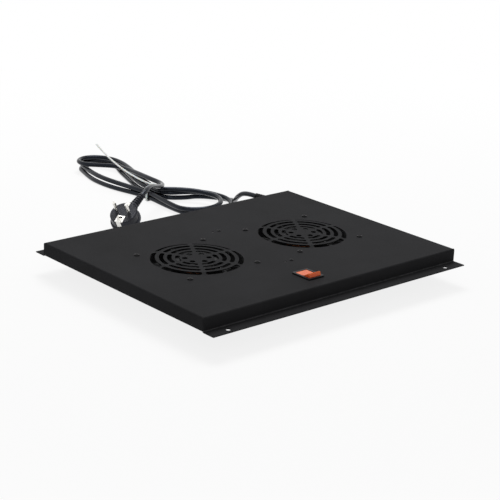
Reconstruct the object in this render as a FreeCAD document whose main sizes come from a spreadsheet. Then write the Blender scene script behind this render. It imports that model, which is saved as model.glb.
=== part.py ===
import FreeCAD, Part
import math
import os

import Sketcher
from FreeCAD import Matrix, Placement, Rotation, Vector

# Rack fan tray: a folded steel tray with two pressed grilles, two axial mains fans hung under it on finger
# guards, an illuminated rocker switch, and a mains cord wound as a hank behind it. Millimetres, +Z up.
# X runs along the mounting flanges, Y from the front flange to the back one, and Z = 0 is the surface that the
# fan guards stand on.

DRIVING_SIZES = {
    # tray
    "tray_width": 413.0,
    "tray_depth": 316.0,
    "sheet_gauge": 1.2,
    "wall_drop": 17.7,
    "side_drop": 16.4,
    "flange_width": 18.0,
    "bend_inside": 0.8,
    "corner_seam": 0.4,
    "flange_hole_radius": 3.0,
    "flange_hole_inset": 27.5,
    "flange_hole_offset": 10.5,
    # grilles
    "emboss_rise": 1.5,
    "emboss_radius": 51.6,
    "grille_radius": 57.8,
    "spoke_width": 4.5,
    "slot_width": 5.5,
    "slot_inner_ring": 24.0,
    "slot_ring_step": 10.0,
    "centre_hole_ring": 15.0,
    "centre_hole_radius": 3.5,
    # fans
    "fan_spacing": 176.0,
    "fan_side": 119.5,
    "fan_thick": 38.0,
    "fan_corner": 5.0,
    "fan_flange": 5.0,
    "fan_screw_pitch": 105.0,
    "fan_screw_hole": 2.25,
    "duct_radius": 57.5,
    "duct_wall": 1.9,
    "blade_tip_gap": 1.2,
    "hub_radius": 32.0,
    "hub_wall": 1.5,
    "hub_floor": 2.0,
    "hub_lift": 7.0,
    "hub_height": 24.0,
    "blade_gauge": 1.6,
    "motor_plate": 3.0,
    "strut_width": 5.0,
    "strut_height": 4.0,
    "tube_radius": 6.0,
    "bearing_radius": 4.0,
    "bearing_length": 5.0,
    "shaft_radius": 2.0,
    "bearing_clearance": 0.04,
    "rotor_wall": 1.8,
    "rotor_height": 17.0,
    "air_gap": 0.4,
    "stack_height": 12.0,
    "coil_height": 3.0,
    # finger guards
    "guard_height": 6.0,
    "guard_wire": 1.6,
    "guard_spoke": 2.2,
    "guard_rings": 4.0,
    "guard_inner_ring": 14.0,
    "guard_ring_step": 13.5,
    # screws
    "screw_radius": 2.0,
    "screw_head_radius": 3.8,
    "screw_head_height": 1.5,
    "screw_length": 11.0,
    "nut_across": 7.0,
    "nut_height": 3.2,
    # switch
    "switch_x": -16.0,
    "switch_y": -122.5,
    "bezel_width": 25.0,
    "bezel_length": 31.0,
    "bezel_height": 2.0,
    "housing_width": 21.8,
    "housing_length": 28.0,
    "housing_depth": 21.0,
    "rocker_width": 18.4,
    "rocker_radius": 12.4,
    "rocker_gap": 0.4,
    "rocker_tilt": 12.5,
    "rocker_corner": 20.0,
    "trunnion_radius": 1.5,
    "tab_width": 6.3,
    "tab_gauge": 0.8,
    "tab_length": 8.0,
    # fixings on the centre line
    "saddle_spacing": 140.0,
    "saddle_hole_pitch": 10.0,
    "saddle_width": 9.0,
    "saddle_hole_radius": 2.0,
    "saddle_base": 3.5,
    "saddle_ring": 4.6,
    "saddle_wall": 1.5,
    # cord
    "cord_radius": 3.5,
    "cord_x": 168.0,
    "cord_drop": 8.8,
    "bushing_hole": 6.35,
    "boot_length": 24.0,
    "core_radius": 1.2,
    "lead_radius": 1.7,
    # hank
    "waist_back_x": 57.0,
    "waist_back_y": 188.0,
    "waist_radius": 10.5,
    "rear_bulge_x": 14.0,
    "rear_bulge_y": 142.0,
    "rear_bulge_radius": 30.0,
    "rear_top_x": 12.0,
    "rear_top_y": 164.0,
    "rear_top_radius": 30.5,
    "rear_tip_x": 29.0,
    "rear_tip_y": 180.0,
    "rear_tip_radius": 28.5,
    "low_turn_x": 31.0,
    "low_turn_y": 76.0,
    "low_turn_radius": 42.0,
    "high_turn_x": 14.0,
    "high_turn_y": 78.0,
    "high_turn_radius": 34.0,
    "eye_start": 42.0,
    "eye_end_radius": 1.0,
    "plug_back_x": 182.0,
    "plug_back_y": 95.0,
    "tie_width": 3.6,
    "tie_gauge": 1.2,
    # plug
    "plug_radius": 19.2,
    "plug_depth": 17.0,
    "plug_flange": 21.5,
    "pin_radius": 2.4,
    "pin_length": 19.0,
    "pin_pitch": 19.0,
    "relief_length": 28.0,
}

doc = FreeCAD.newDocument("rack_fan_tray")
sheet = doc.addObject("Spreadsheet::Sheet", "Sizes")
for row, (alias, number) in enumerate(DRIVING_SIZES.items(), start=1):
    sheet.set(f"A{row}", alias)
    sheet.set(f"B{row}", str(number))
    sheet.setAlias(f"B{row}", alias)
doc.recompute()


class Size(float):
    """A length read from the sheet, which remembers the formula that gives it."""

    def __new__(cls, number, formula):
        made = super().__new__(cls, number)
        made.formula = formula
        return made

    def joined(self, other, sign, number):
        return Size(number, f"({self.formula} {sign} {formula_of(other)})")

    def __add__(self, other):
        return self.joined(other, "+", float(self) + float(other))

    def __sub__(self, other):
        return self.joined(other, "-", float(self) - float(other))

    def __mul__(self, other):
        return self.joined(other, "*", float(self) * float(other))

    def __truediv__(self, other):
        return self.joined(other, "/", float(self) / float(other))

    def __radd__(self, other):
        return Size(other, repr(other)) + self

    def __rsub__(self, other):
        return Size(other, repr(other)) - self

    def __rmul__(self, other):
        return Size(other, repr(other)) * self

    def __neg__(self):
        return Size(-float(self), f"(-{self.formula})")


def formula_of(number):
    return number.formula if isinstance(number, Size) else repr(float(number))


def size(alias):
    return Size(float(sheet.get(alias)), f"Sizes.{alias}")


NODES = []


def bind(owner, path, number):
    """Give a property of a document object its formula from the sheet, or a plain number."""
    owner.setExpression(path, formula_of(number))


def new_body(label):
    body = doc.addObject("PartDesign::Body", label)
    body.Label = label
    return body


def origin_part(body, role):
    return next(part for part in body.Origin.OriginFeatures if part.Role == role)


def new_sketch(body, name, role, x=0.0, y=0.0, lift=0.0, turn=None):
    """A sketch on one of the body's own planes, moved by x and y in the plane and lifted off it."""
    sketch = body.newObject("Sketcher::SketchObject", f"{body.Label}_{name}")
    sketch.AttachmentSupport = (origin_part(body, role), [""])
    sketch.MapMode = "FlatFace"
    sketch.AttachmentOffset = Placement(Vector(x, y, lift), turn or Rotation())
    for axis, number in (("x", x), ("y", y), ("z", lift)):
        if isinstance(number, Size):
            bind(sketch, f"AttachmentOffset.Base.{axis}", number)
    return sketch


def fix(sketch, kind, references, number):
    """Add one measured constraint and tie it to the sheet."""
    index = sketch.addConstraint(Sketcher.Constraint(kind, *references, float(number)))
    if isinstance(number, Size):
        bind(sketch, f"Constraints[{index}]", number)


def draw_polygon(sketch, corners):
    """A closed outline of straight lines whose corners are all placed from the sketch's origin."""
    first = sketch.GeometryCount
    count = len(corners)
    for at in range(count):
        start = Vector(*corners[at], 0)
        end = Vector(*corners[(at + 1) % count], 0)
        sketch.addGeometry(Part.LineSegment(start, end))
    for at in range(count):
        following = first + (at + 1) % count
        sketch.addConstraint(Sketcher.Constraint("Coincident", first + at, 2, following, 1))
        fix(sketch, "DistanceX", (-1, 1, first + at, 1), corners[at][0])
        fix(sketch, "DistanceY", (-1, 1, first + at, 1), corners[at][1])


def draw_box(sketch, x_low, x_high, y_low, y_high):
    draw_polygon(sketch, [(x_low, y_low), (x_high, y_low), (x_high, y_high), (x_low, y_high)])


def draw_circle(sketch, radius, x=0.0, y=0.0):
    circle = sketch.addGeometry(Part.Circle(Vector(x, y, 0), Vector(0, 0, 1), float(radius)))
    fix(sketch, "DistanceX", (-1, 1, circle, 3), x)
    fix(sketch, "DistanceY", (-1, 1, circle, 3), y)
    fix(sketch, "Radius", (circle,), radius)


def extrude(kind, body, name, sketch, length, reverse=False, both=False):
    feature = body.newObject(f"PartDesign::{kind}", f"{body.Label}_{name}")
    feature.Profile = sketch
    feature.Reversed = reverse
    if both:
        feature.SideType = "Symmetric"
    bind(feature, "Length", length)
    return feature


def pad(body, name, sketch, length, reverse=False, both=False):
    return extrude("Pad", body, name, sketch, length, reverse, both)


def pocket(body, name, sketch, length, reverse=False, both=False):
    """Cut the sketch out of the body, and make sure that the cut removes material."""
    doc.recompute()
    before = body.Shape.Volume
    feature = extrude("Pocket", body, name, sketch, length, reverse, both)
    doc.recompute()
    if body.Shape.Volume > before - 1e-3:
        raise ValueError(f"{feature.Name} cuts nothing")
    return feature


def turned(kind, body, name, sketch, axis="V_Axis"):
    feature = body.newObject(f"PartDesign::{kind}", f"{body.Label}_{name}")
    feature.Profile = sketch
    feature.ReferenceAxis = (sketch, [axis])
    feature.Angle = 360.0
    return feature


def polar(body, name, originals, axis_sketch, count):
    doc.recompute()
    feature = body.newObject("PartDesign::PolarPattern", f"{body.Label}_{name}")
    feature.Originals = originals
    feature.Axis = (axis_sketch, ["N_Axis"])
    feature.Angle = 360.0
    feature.Occurrences = count
    body.Tip = feature
    doc.recompute()
    return feature


def edge_names(shape, wanted):
    return [f"Edge{at}" for at, edge in enumerate(shape.Edges, start=1) if wanted(edge)]


def dress(kind, body, name, base, wanted, amount):
    """Fillet or chamfer the edges of the base feature for which wanted(edge) is true."""
    doc.recompute()
    names = edge_names(base.Shape, wanted)
    if not names:
        raise ValueError(f"{body.Label} {name}: no such edge")
    feature = body.newObject(f"PartDesign::{kind}", f"{body.Label}_{name}")
    feature.Base = (base, names)
    bind(feature, "Radius" if kind == "Fillet" else "Size", amount)
    doc.recompute()
    return feature


def runs_along(edge, axis):
    if edge.Curve.TypeId != "Part::GeomLine":
        return False
    direction = edge.Curve.Direction
    return abs(abs(direction.dot(axis)) - 1.0) < 1e-6


def edge_at(edge, axis, **place):
    """True for a straight edge along the axis whose middle has the given coordinates."""
    if not runs_along(edge, axis):
        return False
    middle = edge.BoundBox.Center
    return all(abs(getattr(middle, name) - float(number)) < 1e-3 for name, number in place.items())


def place(thing, x=0.0, y=0.0, z=0.0, turn=None):
    """Put a sub-part where it belongs, with its position tied to the sheet."""
    thing.Placement = Placement(Vector(x, y, z), turn or Rotation())
    for axis, number in (("x", x), ("y", y), ("z", z)):
        if isinstance(number, Size):
            bind(thing, f"Placement.Base.{axis}", number)


def keep(thing):
    """Name a document object as a sub-part of the tray."""
    NODES.append(thing)
    return thing


def keep_shape(label, shape):
    feature = doc.addObject("Part::Feature", label)
    feature.Label = label
    feature.Shape = shape
    return keep(feature)


def copies(label, form, placements):
    """One node of separate identical solids: the form's shape set down at each placement."""
    doc.recompute()
    solids = []
    for where in placements:
        solid = form.Shape.copy()
        solid.Placement = where.multiply(solid.Placement)
        solids.append(solid)
    return keep_shape(label, Part.Compound(solids))


X_AXIS = Vector(1, 0, 0)
Y_AXIS = Vector(0, 1, 0)
Z_AXIS = Vector(0, 0, 1)

# ---------------------------------------------------------------------------------------------------------
# Levels that several pieces share.

gauge = size("sheet_gauge")
fan_base = size("guard_height")
plate_under = fan_base + size("fan_thick")
plate_top = plate_under + gauge
flange_under = plate_top - size("wall_drop")
half_width = size("tray_width") / 2
half_depth = size("tray_depth") / 2
fan_x = size("fan_spacing") / 2
screw_offset = size("fan_screw_pitch") / 2
hole_x = half_width - size("flange_hole_inset")
hole_y = half_depth + size("flange_hole_offset")
cord_z = plate_top - size("cord_drop")
saddle_y = size("saddle_spacing") / 2
saddle_x = size("saddle_hole_pitch") / 2

# ---------------------------------------------------------------------------------------------------------
# Tray panel: one sheet, folded down on four sides, with a flange turned out along the front and the back.


def fold_section(body):
    """The tray's section from front flange to back flange, run along its width."""
    tip = half_depth + size("flange_width")
    inner = half_depth - gauge
    flange_top = flange_under + gauge
    sketch = new_sketch(body, "section", "YZ_Plane")
    draw_polygon(sketch, [
        (-tip, flange_under), (-inner, flange_under), (-inner, plate_under),
        (inner, plate_under), (inner, flange_under), (tip, flange_under),
        (tip, flange_top), (half_depth, flange_top), (half_depth, plate_top),
        (-half_depth, plate_top), (-half_depth, flange_top), (-tip, flange_top)])
    fold = pad(body, "fold", sketch, size("tray_width"), both=True)

    def outer_bend(edge):
        on_top = edge_at(edge, X_AXIS, z=plate_top)
        at_foot = edge_at(edge, X_AXIS, z=flange_under) and abs(edge.BoundBox.Center.y) < float(half_depth)
        return on_top or at_foot

    def inner_bend(edge):
        under_top = edge_at(edge, X_AXIS, z=plate_under)
        on_flange = edge_at(edge, X_AXIS, z=flange_top) and abs(edge.BoundBox.Center.y) < float(tip) - 1
        return under_top or on_flange

    outer = dress("Fillet", body, "outer_bends", fold, outer_bend, size("bend_inside") + gauge)
    return dress("Fillet", body, "inner_bends", outer, inner_bend, size("bend_inside"))


def draw_bend(sketch, corner, start, end, centre, radius):
    """The wedge between a sharp corner and the arc, from start to end, that rounds it."""
    begin = math.atan2(start[1] - centre[1], start[0] - centre[0])
    finish = math.atan2(end[1] - centre[1], end[0] - centre[0])
    low, high = sorted((begin, finish))
    if high - low > math.pi:
        low, high = high, low + 2 * math.pi
    flipped = abs(begin - low) > 1e-6 and abs(begin - low) < 2 * math.pi - 1e-6
    circle = Part.Circle(Vector(*centre, 0), Z_AXIS, float(radius))
    arc = sketch.addGeometry(Part.ArcOfCircle(circle, low, high))
    into = sketch.addGeometry(Part.LineSegment(Vector(*corner, 0), Vector(*start, 0)))
    back = sketch.addGeometry(Part.LineSegment(Vector(*end, 0), Vector(*corner, 0)))
    arc_start, arc_end = (2, 1) if flipped else (1, 2)
    sketch.addConstraint(Sketcher.Constraint("Coincident", into, 2, arc, arc_start))
    sketch.addConstraint(Sketcher.Constraint("Coincident", arc, arc_end, back, 1))
    sketch.addConstraint(Sketcher.Constraint("Coincident", back, 2, into, 1))
    for line, end_of_line, spot in ((into, 1, corner), (into, 2, start), (back, 1, end)):
        fix(sketch, "DistanceX", (-1, 1, line, end_of_line), spot[0])
        fix(sketch, "DistanceY", (-1, 1, line, end_of_line), spot[1])
    fix(sketch, "Radius", (arc,), radius)


def side_walls(body):
    """The short walls folded down at the two ends, each with a narrow seam at the corners."""
    inner = half_width - gauge
    foot = plate_top - size("side_drop")
    length = size("tray_depth") - 2 * (gauge + size("corner_seam"))
    inside = size("bend_inside")
    outside = inside + gauge
    for name, side in (("left", -1), ("right", 1)):
        wall = new_sketch(body, f"{name}_wall", "XZ_Plane")
        draw_polygon(wall, [(inner * side, foot), (half_width * side, foot),
                            (half_width * side, plate_top), (inner * side, plate_top)])
        pad(body, f"{name}_fold", wall, length, both=True)
        crook = new_sketch(body, f"{name}_crook", "XZ_Plane")
        draw_bend(crook, (inner * side, plate_under), ((inner - inside) * side, plate_under),
                  (inner * side, plate_under - inside),
                  ((inner - inside) * side, plate_under - inside), inside)
        pad(body, f"{name}_inner_bend", crook, length, both=True)
        knee = new_sketch(body, f"{name}_knee", "XZ_Plane")
        draw_bend(knee, (half_width * side, plate_top), ((half_width - outside) * side, plate_top),
                  (half_width * side, plate_top - outside),
                  ((half_width - outside) * side, plate_top - outside), outside)
        pocket(body, f"{name}_outer_bend", knee, length, both=True)


def slot_outline(sketch, ring, width, spoke):
    """One slot between two spokes: an arc of the ring with rounded ends, for the sixth from 0 to 60 degrees."""
    clear = spoke / 2 + width / 2
    outer = ring + width / 2
    inner = ring - width / 2
    begin = math.asin(float(clear) / float(ring))
    finish = math.pi / 3 - begin
    centre = Vector(0, 0, 0)
    geometry = [Part.ArcOfCircle(Part.Circle(centre, Z_AXIS, float(outer)), begin, finish),
                Part.ArcOfCircle(Part.Circle(centre, Z_AXIS, float(inner)), begin, finish)]
    for angle, sweep in ((begin, -math.pi), (finish, 0.0)):
        end = Vector(math.cos(angle), math.sin(angle), 0) * float(ring)
        circle = Part.Circle(end, Z_AXIS, float(width) / 2)
        geometry.append(Part.ArcOfCircle(circle, angle + sweep, angle + sweep + math.pi))
    arc_out, arc_in, cap_low, cap_high = sketch.addGeometry(geometry)
    for arc in (arc_out, arc_in):
        sketch.addConstraint(Sketcher.Constraint("Coincident", arc, 3, -1, 1))
    sketch.addConstraint(Sketcher.Constraint("Tangent", arc_out, 1, cap_low, 2))
    sketch.addConstraint(Sketcher.Constraint("Tangent", arc_in, 1, cap_low, 1))
    sketch.addConstraint(Sketcher.Constraint("Tangent", arc_out, 2, cap_high, 1))
    sketch.addConstraint(Sketcher.Constraint("Tangent", arc_in, 2, cap_high, 2))
    fix(sketch, "Radius", (arc_out,), outer)
    fix(sketch, "Radius", (arc_in,), inner)
    fix(sketch, "DistanceY", (-1, 1, cap_low, 3), clear)
    return cap_high, clear


def grille(body, name, x):
    """A pressed and pierced grille: the disc stands proud of the sheet, and its rim slopes down to it."""
    rise = size("emboss_rise")
    crown = size("emboss_radius")
    rim = size("grille_radius")
    lap = rim + 1.0
    opening = new_sketch(body, f"{name}_opening", "XY_Plane", x=x, lift=plate_top + 1)
    draw_circle(opening, rim)
    pocket(body, f"{name}_hole", opening, gauge + 2)
    dish = new_sketch(body, f"{name}_dish", "XZ_Plane", x=x)
    draw_polygon(dish, [
        (0.0, plate_under + rise), (crown, plate_under + rise), (rim, plate_under), (lap, plate_under),
        (lap, plate_top), (rim, plate_top), (crown, plate_top + rise), (0.0, plate_top + rise)])
    turned("Revolution", body, f"{name}_crown", dish)
    slots = new_sketch(body, f"{name}_slots", "XY_Plane", x=x, lift=plate_top + rise + 1)
    spoke = size("spoke_width")
    spoke_line = slots.addGeometry(Part.LineSegment(Vector(0, 0, 0), Vector(10, 10 * math.sqrt(3), 0)), True)
    slots.addConstraint(Sketcher.Constraint("Coincident", spoke_line, 1, -1, 1))
    slots.addConstraint(Sketcher.Constraint("Angle", -1, 1, spoke_line, 1, math.radians(60.0)))
    slots.addConstraint(Sketcher.Constraint("Distance", spoke_line, 20.0))
    width = size("slot_width")
    rings = [(size("slot_inner_ring") + size("slot_ring_step") * step, width) for step in range(3)]
    rings.append(((crown + rim) / 2, rim - crown))
    for ring, slot in rings:
        cap, clear = slot_outline(slots, ring, slot, spoke)
        fix(slots, "Distance", (cap, 3, spoke_line), clear)
    hole_ring = size("centre_hole_ring")
    draw_circle(slots, size("centre_hole_radius"), hole_ring * math.cos(math.pi / 6), hole_ring * 0.5)
    cut = pocket(body, f"{name}_sixth", slots, gauge + rise + 2)
    return polar(body, f"{name}_slots_round", [cut], slots, 6)


def panel_holes(body):
    """Screw holes round each grille, the fixings on the centre line, the switch, flange and cord holes."""
    drop = gauge + 2
    screws = new_sketch(body, "screw_holes", "XY_Plane", lift=plate_top + 1)
    for centre in (-fan_x, fan_x):
        for side_x in (-1, 1):
            for side_y in (-1, 1):
                draw_circle(screws, size("fan_screw_hole"),
                            centre + screw_offset * side_x, screw_offset * side_y)
    for side_y in (-1, 1):
        for side_x in (-1, 1):
            draw_circle(screws, size("saddle_hole_radius"), saddle_x * side_x, saddle_y * side_y)
    pocket(body, "screw_cuts", screws, drop)
    window = new_sketch(body, "switch_window", "XY_Plane", lift=plate_top + 1)
    reach_x = size("housing_width") / 2 + 0.2
    reach_y = size("housing_length") / 2 + 0.2
    switch_x = size("switch_x")
    switch_y = size("switch_y")
    draw_box(window, switch_x - reach_x, switch_x + reach_x, switch_y - reach_y, switch_y + reach_y)
    pocket(body, "switch_cut", window, drop)
    flanges = new_sketch(body, "flange_holes", "XY_Plane", lift=flange_under + gauge + 1)
    for side_x in (-1, 1):
        for side_y in (-1, 1):
            draw_circle(flanges, size("flange_hole_radius"), hole_x * side_x, hole_y * side_y)
    pocket(body, "flange_cuts", flanges, drop)
    cord_hole = new_sketch(body, "cord_hole", "XZ_Plane", lift=-(half_depth + 1))
    draw_circle(cord_hole, size("bushing_hole"), size("cord_x"), cord_z)
    pocket(body, "cord_cut", cord_hole, drop, reverse=True)


def make_tray_panel():
    body = new_body("tray_panel")
    fold_section(body)
    side_walls(body)
    grille(body, "left_grille", -fan_x)
    grille(body, "right_grille", fan_x)
    panel_holes(body)
    keep(body)


# ---------------------------------------------------------------------------------------------------------
# Fans. Each is built about its own axis with Z = 0 at its lower face, and then hung under its grille.

hub_top = size("hub_lift") + size("hub_height")
tip_radius = size("duct_radius") - size("blade_tip_gap")
rotor_outside = size("hub_radius") - size("hub_wall")
rotor_inside = rotor_outside - size("rotor_wall")
stack_radius = rotor_inside - size("air_gap")
tube_foot = size("hub_lift") + size("hub_floor") + 4.5
stack_foot = size("hub_lift") + size("hub_floor") + 6.0


def four_corners(pitch, x=0.0, y=0.0):
    return [(x + pitch * side_x, y + pitch * side_y) for side_x in (-1, 1) for side_y in (-1, 1)]


def make_fan_frame(label, x):
    """A die-cast frame: two square flanges on a round duct, four struts and a motor plate at the outlet."""
    body = new_body(label)
    side = size("fan_side") / 2
    thick = size("fan_thick")
    square = new_sketch(body, "square", "XY_Plane")
    draw_box(square, -side, side, -side, side)
    block = pad(body, "block", square, thick)
    dress("Fillet", body, "corners", block, lambda edge: runs_along(edge, Z_AXIS), size("fan_corner"))
    waist = new_sketch(body, "waist", "XY_Plane", lift=size("fan_flange"))
    draw_box(waist, -side - 5, side + 5, -side - 5, side + 5)
    draw_circle(waist, size("duct_radius") + size("duct_wall"))
    pocket(body, "waist_cut", waist, thick - 2 * size("fan_flange"), reverse=True)
    duct = new_sketch(body, "duct", "XY_Plane")
    draw_circle(duct, size("duct_radius"))
    pocket(body, "duct_cut", duct, thick, reverse=True)
    bolts = new_sketch(body, "bolts", "XY_Plane")
    for spot in four_corners(screw_offset):
        draw_circle(bolts, size("fan_screw_hole"), *spot)
    pocket(body, "bolt_cuts", bolts, thick, reverse=True)
    strut = new_sketch(body, "strut", "XY_Plane", lift=thick - size("strut_height"))
    half_strut = size("strut_width") / 2
    draw_box(strut, size("tube_radius") + 4, size("duct_radius") + 1, -half_strut, half_strut)
    bar = pad(body, "strut_bar", strut, size("strut_height"))
    polar(body, "struts", [bar], strut, 4)
    plate = new_sketch(body, "motor_plate", "XY_Plane", lift=thick - size("motor_plate"))
    draw_circle(plate, size("hub_radius") - 1)
    pad(body, "plate", plate, size("motor_plate"))
    tube = new_sketch(body, "tube", "XY_Plane", lift=tube_foot)
    draw_circle(tube, size("tube_radius"))
    draw_circle(tube, size("bearing_radius"))
    pad(body, "bearing_tube", tube, thick - tube_foot - 1)
    bore = new_sketch(body, "bore", "XY_Plane", lift=tube_foot)
    draw_circle(bore, size("bearing_radius"))
    pocket(body, "bearing_bore", bore, thick - tube_foot - 1.5, reverse=True)
    place(body, x=x, z=fan_base)
    keep(body)


def draw_curved_band(sketch, start, end, bulge, across):
    """A band of even thickness between two arcs: its first edge runs from start to end by way of bulge."""
    other_start = (start[0] + across[0], start[1] + across[1])
    other_end = (end[0] + across[0], end[1] + across[1])
    other_bulge = (bulge[0] + across[0], bulge[1] + across[1])
    near = Part.Arc(Vector(*start, 0), Vector(*bulge, 0), Vector(*end, 0))
    far = Part.Arc(Vector(*other_start, 0), Vector(*other_bulge, 0), Vector(*other_end, 0))
    first_end = sketch.addGeometry(Part.LineSegment(Vector(*start, 0), Vector(*other_start, 0)))
    last_end = sketch.addGeometry(Part.LineSegment(Vector(*end, 0), Vector(*other_end, 0)))
    for arc, at in ((near, 1), (far, 2)):
        curve = sketch.addGeometry(arc)
        begins = Vector(*(start if at == 1 else other_start), 0)
        at_start, at_end = (1, 2) if sketch.getPoint(curve, 1).distanceToPoint(begins) < 1e-6 else (2, 1)
        sketch.addConstraint(Sketcher.Constraint("Coincident", curve, at_start, first_end, at))
        sketch.addConstraint(Sketcher.Constraint("Coincident", curve, at_end, last_end, at))
        fix(sketch, "Radius", (curve,), arc.toShape().Curve.Radius)
    for line, at, spot in ((first_end, 1, start), (first_end, 2, other_start), (last_end, 1, end),
                           (last_end, 2, other_end)):
        fix(sketch, "DistanceX", (-1, 1, line, at), spot[0])
        fix(sketch, "DistanceY", (-1, 1, line, at), spot[1])


def blade_section(body, name, away, half_chord, low, high, camber):
    """A curved blade section in a plane across the blade, from its leading edge to its trailing edge."""
    sketch = new_sketch(body, name, "XZ_Plane", lift=-away)
    middle = (low + high) / 2 + camber
    draw_curved_band(sketch, (-half_chord, low), (half_chord, high), (0.0, middle), (0.0, size("blade_gauge")))
    return sketch


def make_impeller(label, x):
    """A hub cup with seven cambered, twisted blades, whose tips are turned to the duct's running gap."""
    body = new_body(label)
    lift = size("hub_lift")
    hub = size("hub_radius")
    floor = lift + size("hub_floor")
    inside = hub - size("hub_wall")
    boss = size("tube_radius") - 1.5
    boss_top = tube_foot - 0.4
    shaft = size("shaft_radius")
    cup = new_sketch(body, "cup", "XZ_Plane")
    draw_polygon(cup, [
        (0.0, lift), (hub - 2, lift), (hub, lift + 2), (hub, hub_top), (inside, hub_top), (inside, floor),
        (boss, floor), (boss, boss_top), (shaft, boss_top), (shaft, lift + 1), (0.0, lift + 1)])
    turned("Revolution", body, "hub", cup)
    root = blade_section(body, "blade_root", inside + 0.5, 9.0, lift + 3, lift + 19, 1.5)
    tip = blade_section(body, "blade_tip", size("duct_radius") + 2, 21.0, lift + 4, lift + 18, 3.0)
    blade = body.newObject("PartDesign::AdditiveLoft", f"{body.Label}_blade")
    blade.Profile = root
    blade.Sections = [tip]
    axis = new_sketch(body, "blade_axis", "XY_Plane")
    draw_circle(axis, 1.0)
    polar(body, "blades", [blade], axis, 7)
    trim = new_sketch(body, "tip_trim", "XZ_Plane")
    draw_box(trim, tip_radius, tip_radius + 20, 0.0, size("fan_thick"))
    turned("Groove", body, "tips", trim)
    place(body, x=x, z=fan_base)
    keep(body)


def ring_body(label, x, outside, inside, low, height):
    """A plain turned ring or, with no inside radius, a plain round bar."""
    body = new_body(label)
    section = new_sketch(body, "section", "XZ_Plane")
    draw_box(section, inside, outside, low, low + height)
    turned("Revolution", body, "ring", section)
    place(body, x=x, z=fan_base)
    return keep(body)


def make_bearings(label, x):
    """Two sleeve bearings pressed into the ends of the bearing tube."""
    form = doc.addObject("Part::Cut", f"{label}_form")
    form.Base = doc.addObject("Part::Cylinder", f"{label}_outside")
    form.Tool = doc.addObject("Part::Cylinder", f"{label}_inside")
    bind(form.Base, "Radius", size("bearing_radius"))
    bind(form.Base, "Height", size("bearing_length"))
    bind(form.Tool, "Radius", size("shaft_radius") + size("bearing_clearance"))
    bind(form.Tool, "Height", size("bearing_length"))
    low = fan_base + tube_foot
    high = fan_base + size("fan_thick") - 5.5 - size("bearing_length")
    copies(label, form, [Placement(Vector(x, 0, level), Rotation()) for level in (low, high)])


def make_stator(label, x):
    """Laminations with eight winding slots, pressed on the bearing tube."""
    body = new_body(label)
    disc = new_sketch(body, "disc", "XY_Plane", lift=stack_foot + size("coil_height"))
    draw_circle(disc, stack_radius)
    draw_circle(disc, size("tube_radius"))
    pad(body, "stack", disc, size("stack_height"))
    slot = new_sketch(body, "slot", "XY_Plane", lift=stack_foot + size("coil_height"))
    draw_box(slot, stack_radius - 12, stack_radius - 2, -2.5, 2.5)
    draw_box(slot, stack_radius - 2.0, stack_radius + 1, -0.8, 0.8)
    cut = pocket(body, "slot_cut", slot, size("stack_height"), reverse=True)
    polar(body, "slots", [cut], slot, 8)
    place(body, x=x, z=fan_base)
    keep(body)


def make_coils(label, x):
    """The winding heads above and below the laminations."""
    placements = []
    for level in (stack_foot, stack_foot + size("coil_height") + size("stack_height")):
        placements.append(Placement(Vector(x, 0, fan_base + level), Rotation()))
    form = doc.addObject("Part::Cut", f"{label}_form")
    form.Base = doc.addObject("Part::Cylinder", f"{label}_outside")
    form.Tool = doc.addObject("Part::Cylinder", f"{label}_inside")
    bind(form.Base, "Radius", stack_radius - 3)
    bind(form.Base, "Height", size("coil_height"))
    bind(form.Tool, "Radius", size("tube_radius") + 5)
    bind(form.Tool, "Height", size("coil_height"))
    copies(label, form, placements)


def make_shaft(label, x):
    """The shaft, turned with a groove for its retaining clip near the top."""
    body = new_body(label)
    radius = size("shaft_radius")
    low = size("hub_lift") + 1
    top = size("fan_thick") - 3
    groove = top - 2
    section = new_sketch(body, "section", "XZ_Plane")
    draw_polygon(section, [
        (0.0, low), (radius, low), (radius, groove), (radius - 0.4, groove), (radius - 0.4, groove + 0.8),
        (radius, groove + 0.8), (radius, top), (0.0, top)])
    turned("Revolution", body, "bar", section)
    place(body, x=x, z=fan_base)
    keep(body)


def make_guard(label, x):
    """A welded wire finger guard: rings on four spokes that step up to an eye under each fan corner."""
    wire = size("guard_wire") / 2
    spoke = size("guard_spoke") / 2
    ring_level = wire
    spoke_level = 2 * wire + spoke - 0.25
    eye_level = size("guard_height") - spoke
    eye_ring = 3.2
    corner = screw_offset * math.sqrt(2)
    shapes = []
    for ring in range(int(size("guard_rings"))):
        hoop = doc.addObject("Part::Torus", f"{label}_ring_{ring + 1}")
        bind(hoop, "Radius1", size("guard_inner_ring") + size("guard_ring_step") * ring)
        bind(hoop, "Radius2", wire)
        hoop.Placement = Placement(Vector(0, 0, ring_level), Rotation())
        shapes.append(hoop)
    outer_ring = size("guard_inner_ring") + size("guard_ring_step") * (size("guard_rings") - 1)
    for quarter in range(4):
        turn = Rotation(Z_AXIS, 45 + 90 * quarter)
        route = [Vector(size("guard_inner_ring") - 2, 0, spoke_level), Vector(outer_ring + 2, 0, spoke_level),
                 Vector(outer_ring + 8, 0, eye_level), Vector(corner - eye_ring, 0, eye_level)]
        bar = doc.addObject("Part::Feature", f"{label}_spoke_{quarter + 1}")
        bar.Shape = tube(route, spoke)[0]
        bar.Placement = Placement(Vector(0, 0, 0), turn)
        eye = doc.addObject("Part::Torus", f"{label}_eye_{quarter + 1}")
        bind(eye, "Radius1", eye_ring)
        bind(eye, "Radius2", spoke)
        eye.Placement = Placement(turn.multVec(Vector(corner, 0, eye_level)), turn)
        shapes += [bar, eye]
    welded = doc.addObject("Part::MultiFuse", label)
    welded.Label = label
    welded.Shapes = shapes
    place(welded, x=x)
    keep(welded)


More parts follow.
